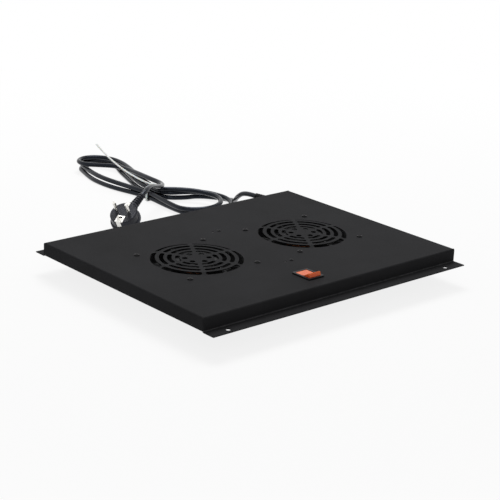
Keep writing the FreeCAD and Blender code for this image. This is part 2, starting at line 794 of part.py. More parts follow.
def rounded_route(points, share=0.45):
    """Straight runs joined by tangent arcs. Gives the edges and the radius of each arc."""
    edges = []
    radii = []
    here = points[0]
    for before, corner, after in zip(points, points[1:], points[2:]):
        incoming = corner - before
        outgoing = after - corner
        cut = share * min(incoming.Length, outgoing.Length)
        turn = incoming.getAngle(outgoing)
        radius = cut / math.tan(turn / 2)
        into = Vector(incoming).normalize()
        away = Vector(outgoing).normalize()
        start = corner - into * cut
        finish = corner + away * cut
        towards = (away - into).normalize()
        middle = corner + towards * (radius / math.cos(turn / 2) - radius)
        edges.append(Part.LineSegment(here, start).toShape())
        edges.append(Part.Arc(start, middle, finish).toShape())
        radii.append(radius)
        here = finish
    edges.append(Part.LineSegment(here, points[-1]).toShape())
    return edges, radii


def tube(points, radius):
    """A round tube along a rounded route, checked against its section times its length."""
    edges, radii = rounded_route(points)
    spine = Part.Wire(edges)
    start = Part.Circle(points[0], points[1] - points[0], float(radius)).toShape()
    solid = spine.makePipeShell([Part.Wire([start])], True, False)
    expected = math.pi * float(radius) ** 2 * spine.Length
    if abs(solid.Volume - expected) > 0.01 * expected:
        raise ValueError(f"a tube of {expected:.0f} cubic mm came out as {solid.Volume:.0f}")
    return solid, radii, spine.Length


def make_fans():
    for number, x in ((1, -fan_x), (2, fan_x)):
        label = f"fan_{number}"
        make_fan_frame(f"{label}_frame", x)
        make_impeller(f"{label}_impeller", x)
        ring_body(f"{label}_rotor", x, rotor_outside, rotor_inside, hub_top - size("rotor_height"),
                  size("rotor_height") - 1)
        make_shaft(f"{label}_shaft", x)
        clip_low = size("fan_thick") - 3 - 2 + 0.1
        ring_body(f"{label}_clip", x, size("bearing_radius") - 0.5, size("shaft_radius") - 0.4, clip_low, 0.6)
        make_bearings(f"{label}_bearings", x)
        make_stator(f"{label}_stator", x)
        make_coils(f"{label}_coils", x)
        make_guard(f"{label}_guard", x)


# ---------------------------------------------------------------------------------------------------------
# Screws and nuts.


def screw_form(label, head_radius, head_height, shank_radius, length):
    """A low round head on a plain shank, with a cross recess, its head's underside at Z = 0."""
    body = new_body(label)
    section = new_sketch(body, "section", "XZ_Plane")
    draw_polygon(section, [
        (0.0, -length), (shank_radius, -length), (shank_radius, 0.0), (head_radius, 0.0),
        (head_radius, head_height * 0.35), (head_radius * 0.8, head_height * 0.85),
        (head_radius * 0.45, head_height), (0.0, head_height)])
    turned("Revolution", body, "blank", section)
    cross = new_sketch(body, "cross", "XY_Plane", lift=head_height + 0.1)
    arm = head_radius * 0.5
    blade = head_radius * 0.13
    draw_polygon(cross, [
        (arm, -blade), (arm, blade), (blade, blade), (blade, arm), (-blade, arm), (-blade, blade),
        (-arm, blade), (-arm, -blade), (-blade, -blade), (-blade, -arm), (blade, -arm), (blade, -blade)])
    pocket(body, "recess", cross, head_height * 0.6)
    return body


def nut_form(label, across, height, hole):
    body = new_body(label)
    outline = new_sketch(body, "outline", "XY_Plane")
    corner = across / math.sqrt(3)
    corners = []
    for side in range(6):
        angle = math.radians(60 * side)
        corners.append((corner * math.cos(angle), corner * math.sin(angle)))
    draw_polygon(outline, corners)
    draw_circle(outline, hole)
    pad(body, "blank", outline, height)
    return body


def at_fan_corners(level, turn=None):
    spots = []
    for centre in (-fan_x, fan_x):
        for x, y in four_corners(screw_offset, centre):
            spots.append(Placement(Vector(x, y, level), turn or Rotation()))
    return spots


def make_fasteners():
    upside_down = Rotation(X_AXIS, 180)
    length = size("screw_length")
    screw = screw_form("screw_form", size("screw_head_radius"), size("screw_head_height"),
                       size("screw_radius"), length)
    copies("fan_screws", screw, at_fan_corners(plate_top))
    nut = nut_form("nut_form", size("nut_across"), size("nut_height"), size("screw_radius"))
    nut_level = plate_under - size("fan_flange") - size("nut_height")
    copies("fan_nuts", nut, at_fan_corners(nut_level))
    guard_screw = screw_form("guard_screw_form", size("screw_head_radius") + 0.4, size("screw_head_height"),
                             size("screw_radius"), size("guard_spoke") + size("fan_flange") + 3)
    copies("guard_screws", guard_screw, at_fan_corners(fan_base - size("guard_spoke"), upside_down))
    guard_nut = fan_base + size("fan_flange")
    copies("guard_nuts", nut, at_fan_corners(guard_nut))


# ---------------------------------------------------------------------------------------------------------
# Rocker switch.

switch_x = size("switch_x")
switch_y = size("switch_y")
pivot_z = plate_top
cavity_length = 2 * (size("rocker_radius") + size("rocker_gap"))
cavity_width = size("rocker_width") + 2 * size("rocker_gap")


def make_switch_housing():
    """A snap-in housing with a rounded bezel over the sheet, hollow where the rocker swings."""
    body = new_body("switch_housing")
    bezel_x = size("bezel_width") / 2
    bezel_y = size("bezel_length") / 2
    bezel = new_sketch(body, "bezel", "XY_Plane", lift=plate_top)
    draw_box(bezel, -bezel_x, bezel_x, -bezel_y, bezel_y)
    rim = pad(body, "rim", bezel, size("bezel_height"))
    dress("Fillet", body, "rim_corners", rim, lambda edge: runs_along(edge, Z_AXIS), 1.5)
    top_rim = plate_top + size("bezel_height")
    dress("Fillet", body, "rim_edge", body.Tip,
          lambda edge: abs(edge.BoundBox.ZMin - float(top_rim)) < 1e-3, 0.8)
    box = new_sketch(body, "box", "XY_Plane", lift=plate_top)
    half_x = size("housing_width") / 2
    half_y = size("housing_length") / 2
    draw_box(box, -half_x, half_x, -half_y, half_y)
    pad(body, "case", box, size("housing_depth"), reverse=True)
    well = new_sketch(body, "well", "XY_Plane", lift=top_rim + 1)
    draw_box(well, -cavity_width / 2, cavity_width / 2, -cavity_length / 2, cavity_length / 2)
    pocket(body, "well_cut", well, size("bezel_height") + 1 + size("rocker_radius") + 1)
    pivots = new_sketch(body, "pivots", "YZ_Plane")
    draw_circle(pivots, size("trunnion_radius") + 0.05, 0.0, pivot_z)
    pocket(body, "pivot_bores", pivots, cavity_width + 2, both=True)
    place(body, x=switch_x, y=switch_y)
    keep(body)


def make_switch_rocker():
    """A rocker with two faces that meet in a valley, ends turned about its pivot, and two trunnions."""
    body = new_body("switch_rocker")
    radius = size("rocker_radius")
    corner = math.radians(size("rocker_corner"))
    valley = radius * (math.sin(corner) - math.cos(corner) * math.tan(math.radians(size("rocker_tilt"))))
    low = math.radians(-38.0)
    sketch = new_sketch(body, "side", "YZ_Plane")
    top_near = (-radius * math.cos(corner), radius * math.sin(corner))
    top_far = (radius * math.cos(corner), radius * math.sin(corner))
    foot_near = (-radius * math.cos(low), radius * math.sin(low))
    foot_far = (radius * math.cos(low), radius * math.sin(low))
    centre = Part.Circle(Vector(0, 0, 0), Z_AXIS, float(radius))
    lines = [(top_near, (0.0, valley)), ((0.0, valley), top_far), (foot_far, foot_near)]
    near_face, far_face, sole = [
        sketch.addGeometry(Part.LineSegment(Vector(*start, 0), Vector(*end, 0))) for start, end in lines]
    far_end = sketch.addGeometry(Part.ArcOfCircle(centre, low, corner))
    near_end = sketch.addGeometry(Part.ArcOfCircle(centre, math.pi - corner, math.pi - low))
    for first, first_end, second, second_end in (
            (near_face, 2, far_face, 1), (far_face, 2, far_end, 2), (far_end, 1, sole, 1),
            (sole, 2, near_end, 2), (near_end, 1, near_face, 1)):
        sketch.addConstraint(Sketcher.Constraint("Coincident", first, first_end, second, second_end))
    for line, end, spot in ((near_face, 1, top_near), (near_face, 2, (0.0, valley)), (far_face, 2, top_far),
                            (sole, 1, foot_far), (sole, 2, foot_near)):
        fix(sketch, "DistanceX", (-1, 1, line, end), spot[0])
        fix(sketch, "DistanceY", (-1, 1, line, end), spot[1])
    fix(sketch, "Radius", (far_end,), radius)
    fix(sketch, "Radius", (near_end,), radius)
    shell = pad(body, "shell", sketch, size("rocker_width"), both=True)
    doc.recompute()
    dress("Fillet", body, "soft_edges", shell,
          lambda edge: edge.BoundBox.ZMin > float(valley) - 0.01 and edge.BoundBox.XLength < 0.01, 0.6)
    pins = new_sketch(body, "pins", "YZ_Plane")
    draw_circle(pins, size("trunnion_radius"))
    pad(body, "trunnions", pins, cavity_width + 1.2, both=True)
    place(body, x=switch_x, y=switch_y, z=pivot_z, turn=Rotation(X_AXIS, -float(size("rocker_tilt"))))
    keep(body)


def make_switch_insides():
    """Four push-on tabs below the housing, the sleeves on them, and the lamp under the rocker."""
    floor = plate_top - size("housing_depth")
    tab = doc.addObject("Part::Box", "tab_form")
    bind(tab, "Length", size("tab_width"))
    bind(tab, "Width", size("tab_gauge"))
    bind(tab, "Height", size("tab_length"))
    sleeve = doc.addObject("Part::Cut", "sleeve_form")
    sleeve.Base = doc.addObject("Part::Box", "sleeve_outside")
    sleeve.Tool = doc.addObject("Part::Box", "sleeve_inside")
    bind(sleeve.Base, "Length", size("tab_width") + 1.6)
    bind(sleeve.Base, "Width", size("tab_gauge") + 3.2)
    bind(sleeve.Base, "Height", size("tab_length") + 3)
    bind(sleeve.Tool, "Length", size("tab_width"))
    bind(sleeve.Tool, "Width", size("tab_gauge"))
    bind(sleeve.Tool, "Height", size("tab_length"))
    sleeve.Tool.Placement = Placement(Vector(0.8, 1.6, 3.0), Rotation())
    tabs = []
    sleeves = []
    for side_x in (-1, 1):
        for side_y in (-1, 1):
            x = switch_x + 5.0 * side_x - size("tab_width") / 2
            y = switch_y + 7.0 * side_y - size("tab_gauge") / 2
            tabs.append(Placement(Vector(x, y, floor - size("tab_length")), Rotation()))
            low = floor - size("tab_length") - 3
            sleeves.append(Placement(Vector(x - 0.8, y - 1.6, low), Rotation()))
    copies("switch_tabs", tab, tabs)
    copies("tab_sleeves", sleeve, sleeves)
    lamp = doc.addObject("Part::Cylinder", "switch_lamp")
    lamp.Label = "switch_lamp"
    bind(lamp, "Radius", 1.8)
    bind(lamp, "Height", 9.0)
    well_floor = plate_top - size("rocker_radius") - 1
    place(lamp, x=switch_x - 4.5, y=switch_y, z=well_floor + 1.8, turn=Rotation(Y_AXIS, 90))
    keep(lamp)


# ---------------------------------------------------------------------------------------------------------
# Wiring under the plate: saddles on the centre line, cores, fan leads and the earth stud.


def make_saddle(label, y):
    """A nylon saddle: a base with a locating peg, and an open ring under it that the wires run through."""
    body = new_body(label)
    width = size("saddle_width")
    base = size("saddle_base")
    ring = size("saddle_ring")
    outside = ring + size("saddle_wall")
    reach = saddle_x + 4.5
    section = new_sketch(body, "section", "XZ_Plane")
    draw_box(section, -reach, reach, plate_under - base, plate_under)
    pad(body, "base", section, width, both=True)
    drop = plate_under - base - ring - size("saddle_wall") + 0.4
    hoop = new_sketch(body, "hoop", "XZ_Plane")
    draw_circle(hoop, outside, 0.0, drop)
    pad(body, "hoop_disc", hoop, width, both=True)
    eye = new_sketch(body, "eye", "XZ_Plane")
    draw_circle(eye, ring, 0.0, drop)
    pocket(body, "eye_cut", eye, width, both=True)
    mouth = new_sketch(body, "mouth", "XZ_Plane")
    draw_box(mouth, 0.0, outside + 1, drop - 1.2, drop + 1.2)
    pocket(body, "mouth_cut", mouth, width, both=True)
    peg = new_sketch(body, "peg", "XY_Plane", lift=plate_under)
    draw_circle(peg, size("saddle_hole_radius") - 0.1, -saddle_x, 0.0)
    pad(body, "peg_pin", peg, gauge * 0.6)
    pilot = new_sketch(body, "pilot", "XY_Plane", lift=plate_under)
    draw_circle(pilot, 1.45, saddle_x, 0.0)
    pocket(body, "pilot_hole", pilot, base - 0.5)
    place(body, y=y)
    keep(body)
    return drop


def make_wiring():
    ring_level = make_saddle("front_saddle", -saddle_y)
    make_saddle("rear_saddle", saddle_y)
    screw = screw_form("saddle_screw_form", 2.6, 1.1, 1.45, gauge + size("saddle_base") - 0.7)
    copies("saddle_screws", screw,
           [Placement(Vector(saddle_x, saddle_y * side, plate_top), Rotation()) for side in (-1, 1)])
    stud_x = half_width - 50
    stud_y = half_depth - 38
    stud = doc.addObject("Part::Cylinder", "earth_stud")
    stud.Label = "earth_stud"
    bind(stud, "Radius", 2.0)
    bind(stud, "Height", 12.0)
    place(stud, x=stud_x, y=stud_y, z=plate_under - 12)
    keep(stud)
    lug_level = plate_under - 3.0
    lug = new_body("earth_lug")
    outline = new_sketch(lug, "outline", "XY_Plane")
    draw_circle(outline, 4.0)
    pad(lug, "disc", outline, 0.8)
    tail = new_sketch(lug, "tail", "XY_Plane")
    draw_box(tail, 2.5, 11.0, -1.8, 1.8)
    pad(lug, "tang", tail, 0.8)
    eye = new_sketch(lug, "eye", "XY_Plane")
    draw_circle(eye, 2.1)
    pocket(lug, "eye_cut", eye, 0.8, reverse=True)
    place(lug, x=stud_x, y=stud_y, z=lug_level)
    keep(lug)
    nut = nut_form("earth_nut_form", size("nut_across"), size("nut_height"), size("screw_radius"))
    copies("earth_nuts", nut, [Placement(Vector(stud_x, stud_y, lug_level - size("nut_height")), Rotation())])
    return ring_level, stud_x, stud_y, lug_level


def make_cores(ring_level, stud_x, stud_y, lug_level):
    """Live and neutral run from the cord through both saddles to the switch; earth goes to the stud."""
    core = size("core_radius")
    lead = size("lead_radius")
    cord_x = size("cord_x")
    inside_end = half_depth - 12
    tab_foot = plate_top - size("housing_depth") - size("tab_length") - 3
    tab_x = 5.0
    tab_y = 7.0
    for label, side in (("core_live", -1), ("core_neutral", 1)):
        low = ring_level + 2.2
        off = 1.5 * side
        behind = inside_end - 51 - 2 * off
        target_x = switch_x + tab_x * side
        target_y = switch_y + tab_y
        route = [
            Vector(cord_x + off, inside_end, cord_z), Vector(cord_x + off, inside_end - 22, cord_z),
            Vector(cord_x - 26, behind + 5, low), Vector(70, behind, low), Vector(14 + off, behind, low),
            Vector(off, saddle_y + 14, low), Vector(off, -saddle_y - 18, low),
            Vector(target_x + 3 * side, target_y + 13, tab_foot + 14),
            Vector(target_x, target_y + 1, tab_foot - 5), Vector(target_x, target_y, tab_foot)]
        keep_shape(label, tube(route, core)[0])
    earth = [Vector(cord_x, inside_end, cord_z + 2.3), Vector(cord_x, inside_end - 12, cord_z + 2.3),
             Vector(stud_x + 17, stud_y + 5, lug_level - core - 0.3),
             Vector(stud_x + 10, stud_y, lug_level - core)]
    keep_shape("core_earth", tube(earth, core)[0])
    for label, side in (("fan_1_lead", -1), ("fan_2_lead", 1)):
        wall = fan_x - size("fan_side") / 2
        target_x = switch_x + tab_x * side
        low = ring_level - 1.8
        route = [
            Vector((wall + 1.0) * side, -10, low - 1), Vector((wall - 9) * side, -16, low - 1),
            Vector(8 * side, -34, low), Vector(1.8 * side, -saddle_y + 16, low),
            Vector(1.8 * side, -saddle_y - 12, low),
            Vector(target_x + 10 * side, switch_y + 24, tab_foot + 12),
            Vector(target_x + 7 * side, switch_y, tab_foot - 5),
            Vector(target_x + 2 * side, switch_y - tab_y, tab_foot - 8),
            Vector(target_x, switch_y - tab_y, tab_foot)]
        keep_shape(label, tube(route, lead)[0])


# ---------------------------------------------------------------------------------------------------------
# Mains cord: bushing, sheath, hank, tie and plug.


def make_bushing():
    """A moulded bushing in the rear wall with a ribbed, tapered boot outside and a lip inside."""
    body = new_body("cord_bushing")
    wall = half_depth
    cord = size("cord_radius")
    hole = size("bushing_hole") - 0.05
    boot = size("boot_length")
    section = new_sketch(body, "section", "XY_Plane")
    start = wall - gauge - 7
    corners = [
        (cord, start), (hole + 0.8, start), (hole + 0.8, wall - gauge), (hole, wall - gauge), (hole, wall),
        (hole + 0.5, wall), (hole + 0.5, wall + 2)]
    ribs = 5
    for rib in range(ribs):
        low = wall + 2 + (boot - 2) * rib / ribs
        high = wall + 2 + (boot - 2) * (rib + 0.55) / ribs
        radius = 6.0 - 1.3 * rib / (ribs - 1)
        corners += [(radius - 0.9, low), (radius - 0.9, low + 1.4), (radius, low + 1.4), (radius, high + 1.6)]
    end = wall + boot
    corners = [spot for spot in corners if float(spot[1]) < float(end) - 0.1]
    corners += [(4.7, end), (cord, end)]
    draw_polygon(sketch=section, corners=corners)
    turned("Revolution", body, "boot", section)
    place(body, x=size("cord_x"), z=cord_z)
    keep(body)


def make_sheath_end():
    sheath = doc.addObject("Part::Cylinder", "sheath_end")
    sheath.Label = "sheath_end"
    bind(sheath, "Radius", size("cord_radius"))
    bind(sheath, "Height", 12.0 + size("boot_length"))
    place(sheath, x=size("cord_x"), y=half_depth + size("boot_length"), z=cord_z, turn=Rotation(X_AXIS, 90))
    keep(sheath)


# The hank lies behind the tray. Its waist is where the tie holds it. The rear lobe has three turns lying on
# each other, and the front lobe has turns that have slipped apart. Each loop is the line of the cord's middle.

cord = size("cord_radius")
layer = 2 * cord
waist_x = size("cord_x") - size("waist_back_x")
waist_y = half_depth + size("waist_back_y")
waist = (waist_x, waist_y, size("waist_radius"))
rear_bulge = (waist_x + size("rear_bulge_x"), waist_y + size("rear_bulge_y"), size("rear_bulge_radius"))
rear_tip = (waist_x + size("rear_tip_x"), waist_y + size("rear_tip_y"), size("rear_tip_radius"))
rear_top = (waist_x + size("rear_top_x"), waist_y + size("rear_top_y"), size("rear_top_radius"))
low_turn = (waist_x + size("low_turn_x"), waist_y - size("low_turn_y"), size("low_turn_radius"))
high_turn = (waist_x + size("high_turn_x"), waist_y - size("high_turn_y"), size("high_turn_radius"))


def draw_belt(sketch, first, second, spread):
    """The outline of a belt round two circles, each given as (x, y, radius) and widened by the spread."""
    ends = []
    for x, y, radius in (first, second):
        ends.append((Vector(x, y, 0), radius + spread))
    (centre_1, radius_1), (centre_2, radius_2) = ends
    between = centre_2 - centre_1
    heading = math.atan2(between.y, between.x)
    lean = math.acos((float(radius_1) - float(radius_2)) / between.Length)
    arcs = []
    for centre, radius, low, high in (
            (centre_1, radius_1, heading + lean, heading + 2 * math.pi - lean),
            (centre_2, radius_2, heading - lean, heading + lean)):
        circle = Part.Circle(centre, Z_AXIS, float(radius))
        arcs.append(sketch.addGeometry(Part.ArcOfCircle(circle, low, high)))
    back, front = arcs
    for back_end, front_end in ((1, 2), (2, 1)):
        side = sketch.addGeometry(Part.LineSegment(sketch.getPoint(back, back_end),
                                                   sketch.getPoint(front, front_end)))
        sketch.addConstraint(Sketcher.Constraint("Tangent", back, back_end, side, 1))
        sketch.addConstraint(Sketcher.Constraint("Tangent", front, front_end, side, 2))
    for arc, (x, y, radius) in ((back, first), (front, second)):
        fix(sketch, "DistanceX", (-1, 1, arc, 3), x)
        fix(sketch, "DistanceY", (-1, 1, arc, 3), y)
        fix(sketch, "Radius", (arc,), radius + spread)


def make_hank():
    """The outer form of the tied turns: a lobe with its eye on each side of the waist."""
    body = new_body("cord_hank")
    eye_radius = size("eye_end_radius")
    behind = (waist_x + 2, waist_y + size("eye_start"), eye_radius)
    before = (waist_x + 4, waist_y - size("eye_start"), eye_radius)
    lobes = (
        ("rear_waist", waist, rear_bulge, behind, 0.0),
        ("rear_tip", rear_bulge, rear_tip, rear_bulge, 0.0),
        ("rear_top", waist, rear_top, behind, 1.0),
        ("front_low", waist, low_turn, before, 0.0),
        ("front_high", waist, high_turn, before, 1.0))
    for name, inner, outer, eye, first in lobes:
        outline = new_sketch(body, f"{name}_outline", "XY_Plane", lift=layer * first)
        draw_belt(outline, inner, outer, cord)
        pad(body, f"{name}_turns", outline, layer * 2)
    for name, inner, outer, eye, first in lobes:
        hollow = new_sketch(body, f"{name}_eye", "XY_Plane", lift=layer * (first + 2))
        inside = (outer[0], outer[1], outer[2] - layer)
        draw_belt(hollow, (eye[0], eye[1], eye[2] - layer) if eye is rear_bulge else eye, inside, cord)
        pocket(body, f"{name}_eye_cut", hollow, layer * (first + 2))
    slope = new_sketch(body, "slope", "XZ_Plane", lift=-(waist_y - size("high_turn_y")))
    left = waist_x - size("high_turn_radius")
    right = waist_x + size("high_turn_radius") + size("high_turn_x")
    draw_polygon(slope, [(left, layer * 2), (right, layer * 3), (right, layer * 4), (left, layer * 4)])
    pocket(body, "slope_cut", slope, (size("high_turn_y") - size("waist_radius") * 2) * 2, both=True)
    notch = new_sketch(body, "strap_notch", "XZ_Plane", lift=-waist_y)
    reach = size("waist_radius") + cord - 0.3
    draw_box(notch, waist_x - reach - 3, waist_x + reach + 3, -1.0, layer * 5)
    draw_box(notch, waist_x - reach, waist_x + reach, size("tie_gauge"), layer * 3)
    pocket(body, "strap_notch_cut", notch, size("tie_width") + 0.4, both=True)
    keep(body)


def make_tie():
    """A nylon tie: a strap round the waist of the hank, its head on top, and a long free tail."""
    body = new_body("cable_tie")
    thick = size("tie_gauge")
    width = size("tie_width")
    top = layer * 3
    reach = size("waist_radius") + cord - 0.3
    ring = new_sketch(body, "ring", "XZ_Plane", lift=-waist_y)
    draw_box(ring, waist_x - reach - thick, waist_x + reach + thick, 0.0, top + thick)
    draw_box(ring, waist_x - reach, waist_x + reach, thick, top)
    loop = pad(body, "strap", ring, width, both=True)
    dress("Fillet", body, "strap_corners", loop,
          lambda edge: runs_along(edge, Y_AXIS) and abs(edge.BoundBox.Center.x - waist_x) > reach + 1, thick)
    head_x = waist_x - 4
    head = new_sketch(body, "head", "XY_Plane", lift=top + thick)
    draw_box(head, head_x - 2.6, head_x + 2.6, waist_y - 2.8, waist_y + 2.8)
    pad(body, "head_block", head, 3.6)
    tail = new_sketch(body, "tail", "XZ_Plane")
    draw_curved_band(tail, (1.5, 0.0), (114.0, 40.0), (58.0, 11.5), (0.0, thick))
    tail.AttachmentOffset = Placement(Vector(head_x, top + thick + 1.2, -waist_y), Rotation(Y_AXIS, 101.0))
    pad(body, "tail_strap", tail, width - 0.8, both=True)
    keep(body)


# The plug is drawn face up about the centre of its face, with +Z the way its pins point and +Y the side that
# the cord leaves on, and then laid down on its back edge.

pins_point = Vector(-0.475, -0.232, 0.848).normalize()
pins_apart = Vector(0.439, -0.899, 0.0).normalize()
pins_apart = (pins_apart - pins_point * pins_apart.dot(pins_point)).normalize()
cord_side = pins_point.cross(pins_apart)
relief_turn = 10.0


def plug_placement():
    sink = size("plug_depth") * pins_point.z + size("plug_flange") * math.sqrt(1 - pins_point.z ** 2)
    turned_axes = Matrix(pins_apart.x, cord_side.x, pins_point.x, 0, pins_apart.y, cord_side.y, pins_point.y, 0,
                         pins_apart.z, cord_side.z, pins_point.z, 0, 0, 0, 0, 1)
    turn = Rotation(turned_axes)
    spot = Vector(size("cord_x") - size("plug_back_x"), half_depth + size("plug_back_y"), float(sink) + 0.05)
    return Placement(spot, turn)


def make_plug():
    where = plug_placement()
    body = new_body("plug_body")
    radius = size("plug_radius")
    depth = size("plug_depth")
    flange = size("plug_flange")
    section = new_sketch(body, "section", "XZ_Plane")
    draw_polygon(section, [
        (0.0, 0.0), (radius - 1, 0.0), (radius, -1.0), (radius + 0.4, -depth + 5), (flange, -depth + 4),
        (flange, -depth + 1), (flange - 2, -depth), (0.0, -depth)])
    turned("Revolution", body, "disc", section)
    relief = new_sketch(body, "relief", "XY_Plane", lift=-9.0, turn=Rotation(Z_AXIS, -relief_turn))
    shoulder = radius - 3
    length = size("relief_length")
    corners = [(0.0, shoulder), (7.5, shoulder), (7.5, shoulder + 5), (6.0, shoulder + 8)]
    ribs = 5
    for rib in range(ribs):
        low = shoulder + 8 + (length - 9) * rib / ribs
        step = (length - 9) / ribs
        wide = 6.0 - 0.28 * rib
        corners += [(wide - 0.9, low + 0.5), (wide - 0.9, low + step * 0.45), (wide, low + step * 0.5),
                    (wide, low + step * 0.95)]
    corners += [(4.4, shoulder + length), (cord, shoulder + length), (cord, shoulder + 6), (0.0, shoulder + 6)]
    draw_polygon(relief, corners)
    turned("Revolution", body, "relief_boot", relief)
    socket = new_sketch(body, "earth_socket", "XY_Plane", lift=0.1)
    draw_circle(socket, 2.5, 0.0, -10.0)
    pocket(body, "socket_cut", socket, depth - 3)
    for side in (-1, 1):
        slot = new_sketch(body, f"clip_slot_{side + 1}", "XY_Plane", lift=0.1)
        draw_box(slot, -4.0, 4.0, (radius - 1.6) * side, (radius + 3) * side)
        pocket(body, f"clip_cut_{side + 1}", slot, depth - 5)
    body.Placement = where
    keep(body)
    pin = doc.addObject("Part::Cylinder", "pin_form")
    bind(pin, "Radius", size("pin_radius"))
    bind(pin, "Height", size("pin_length"))
    half_pitch = float(size("pin_pitch") / 2)
    copies("plug_pins", pin, [where.multiply(Placement(Vector(half_pitch * side, 0, 0), Rotation()))
                              for side in (-1, 1)])
    clip = new_body("clip_form")
    bend = new_sketch(clip, "bend", "YZ_Plane")
    draw_polygon(bend, [
        (11.0, 0.0), (radius - 1.6, 0.0), (radius - 1.6, -depth + 6), (radius - 0.8, -depth + 6),
        (radius - 0.8, 0.8), (11.0, 0.8)])
    pad(clip, "strip", bend, 7.0, both=True)
    copies("plug_earth_clips", clip, [where.multiply(Placement(Vector(0, 0, 0), Rotation(Z_AXIS, turn)))
                                      for turn in (0, 180)])
    heading = math.radians(90 - relief_turn)
    along = Vector(math.cos(heading), math.sin(heading), 0)
    mouth = where.multVec(along * float(shoulder + length) + Vector(0, 0, -9))
    deep = where.multVec(along * float(shoulder + 6) + Vector(0, 0, -9))
    return deep, mouth, (mouth - deep).normalize()


def make_cords(deep, mouth, leaving):
    """The two visible stretches of cord: tray to hank, and hank to plug."""
    x = size("cord_x")
    wall = half_depth
    start = Vector(x, wall + size("boot_length"), cord_z)
    turn_x, turn_y, radius = low_turn
    around = float(radius + layer + 1.0)
    route = [start, start + Vector(0, 25, 0), Vector(x + 7, wall + 74, 22.0),
             Vector(turn_x + around - 3, turn_y - 16, 7.5)]
    for angle in (18, 58):
        corner = around / math.cos(math.radians(20))
        heading = math.radians(angle)
        route.append(Vector(turn_x + corner * math.cos(heading), turn_y + corner * math.sin(heading), cord))
    route.append(Vector(turn_x - 2, turn_y + around + 4, cord))
    lead = [deep, mouth + leaving * 6]
    for east, north, level in ((-55.0, -62.0, 45.0), (-29.0, -42.0, 35.5), (-6.0, -26.0, 29.5),
                               (17.0, -23.0, 26.0), (35.0, -33.0, 22.0), (43.0, -52.0, 18.5)):
        lead.append(Vector(waist_x + east, waist_y + north, level))
    for label, points in (("power_cord", route), ("plug_lead", lead)):
        solid, radii, length = tube(points, cord)
        keep_shape(label, solid)
        print(f"{label}: arcs {[round(each, 1) for each in radii]}, length {length:.1f}")


make_tray_panel()
make_fans()
make_fasteners()
make_switch_housing()
make_switch_rocker()
make_switch_insides()
make_cores(*make_wiring())
make_bushing()
make_sheath_end()
make_hank()
make_tie()
make_cords(*make_plug())

# ---------------------------------------------------------------------------------------------------------
# Every feature must have built and every shape must be sound before anything is written.

doc.recompute()
for thing in doc.Objects:
    if "Invalid" in thing.State or "Error" in thing.State:
        raise ValueError(f"{thing.Name} did not build: {thing.State}")
for node in NODES:
    if node.Shape.isNull() or not node.Shape.isValid() or not node.Shape.Solids:
        raise ValueError(f"{node.Label} is not a sound solid")

os.makedirs("parts", exist_ok=True)
for node in NODES:
    node.Shape.exportStep(f"parts/{node.Label}.step")
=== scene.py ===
import math

import bpy
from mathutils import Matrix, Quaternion, Vector


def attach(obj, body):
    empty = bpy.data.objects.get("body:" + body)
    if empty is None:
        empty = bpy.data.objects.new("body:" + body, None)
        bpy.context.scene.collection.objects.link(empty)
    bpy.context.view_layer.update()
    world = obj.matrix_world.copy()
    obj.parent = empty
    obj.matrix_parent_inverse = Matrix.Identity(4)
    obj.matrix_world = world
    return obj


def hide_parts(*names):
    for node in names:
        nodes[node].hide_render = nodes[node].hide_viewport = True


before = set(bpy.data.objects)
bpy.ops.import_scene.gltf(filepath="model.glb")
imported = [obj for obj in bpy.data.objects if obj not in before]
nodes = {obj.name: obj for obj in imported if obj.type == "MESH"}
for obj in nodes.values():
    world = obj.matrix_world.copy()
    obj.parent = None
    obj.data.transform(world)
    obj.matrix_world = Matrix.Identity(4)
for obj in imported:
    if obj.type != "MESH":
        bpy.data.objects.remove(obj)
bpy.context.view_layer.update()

# A rack fan tray: a folded and painted steel tray, two axial mains fans under its pressed grilles, a lit
# rocker switch, and a mains cord tied in a hank behind it. Metres, +Z up, standing on Z = 0.

scene = bpy.context.scene


# ---------------------------------------------------------------------------------------------------------
# Camera: a long lens looks down on the tray over its left front corner, and the hank shows behind the rear
# wall. The camera is rolled a little to one side.

lens = 105.35  # mm, on a sensor 36 mm wide
stand = (-1.1636, -1.3089, 0.6341)
line_of_sight = Vector((0.6286, 0.7081, -0.3215))
roll = math.radians(2.19)

camera = bpy.data.objects.new("camera", bpy.data.cameras.new("camera"))
scene.collection.objects.link(camera)
scene.camera = camera
camera.data.sensor_width = 36.0
camera.data.lens = lens
camera.location = stand
camera.rotation_mode = "QUATERNION"
camera.rotation_quaternion = line_of_sight.to_track_quat("-Z", "Y") @ Quaternion((0, 0, 1), roll)


# ---------------------------------------------------------------------------------------------------------
# Mains cord: a round PVC cord, 7 mm thick, that leaves the rear wall through its boot. It goes three
# times through the rear lobe of a tied hank and twice round the front lobe, and comes back over the tie
# to its plug. The turns lie on each other, and it is one smooth line from end to end.

cord_diameter = 0.007
floor_level = cord_diameter / 2
second_level = floor_level + cord_diameter
third_level = second_level + cord_diameter
rear_sweep = (-16, 172)  # degrees, from where the cord turns round the end of the rear lobe to where it ends
foot_y = 0.3080  # where the near side has come down past the tie
from_wall = [
    (0.1680, 0.1820, 0.0364), (0.1680, 0.2070, 0.0364), (0.1750, 0.2320, 0.0220), (0.1906, 0.2540, 0.0072),
    (0.1926, 0.2864, 0.0035), (0.1702, 0.3151, 0.0035), (0.1480, 0.3190, 0.0035), (0.1190, 0.3340, 0.0048)]
to_plug = [
    (0.1185, 0.3640, 0.0264), (0.1170, 0.3330, 0.0264), (0.0990, 0.3140, 0.0298), (0.0820, 0.3040, 0.0355),
    (0.0560, 0.2840, 0.0450), (0.0318, 0.2657, 0.0444), (0.0086, 0.2598, 0.0298)]


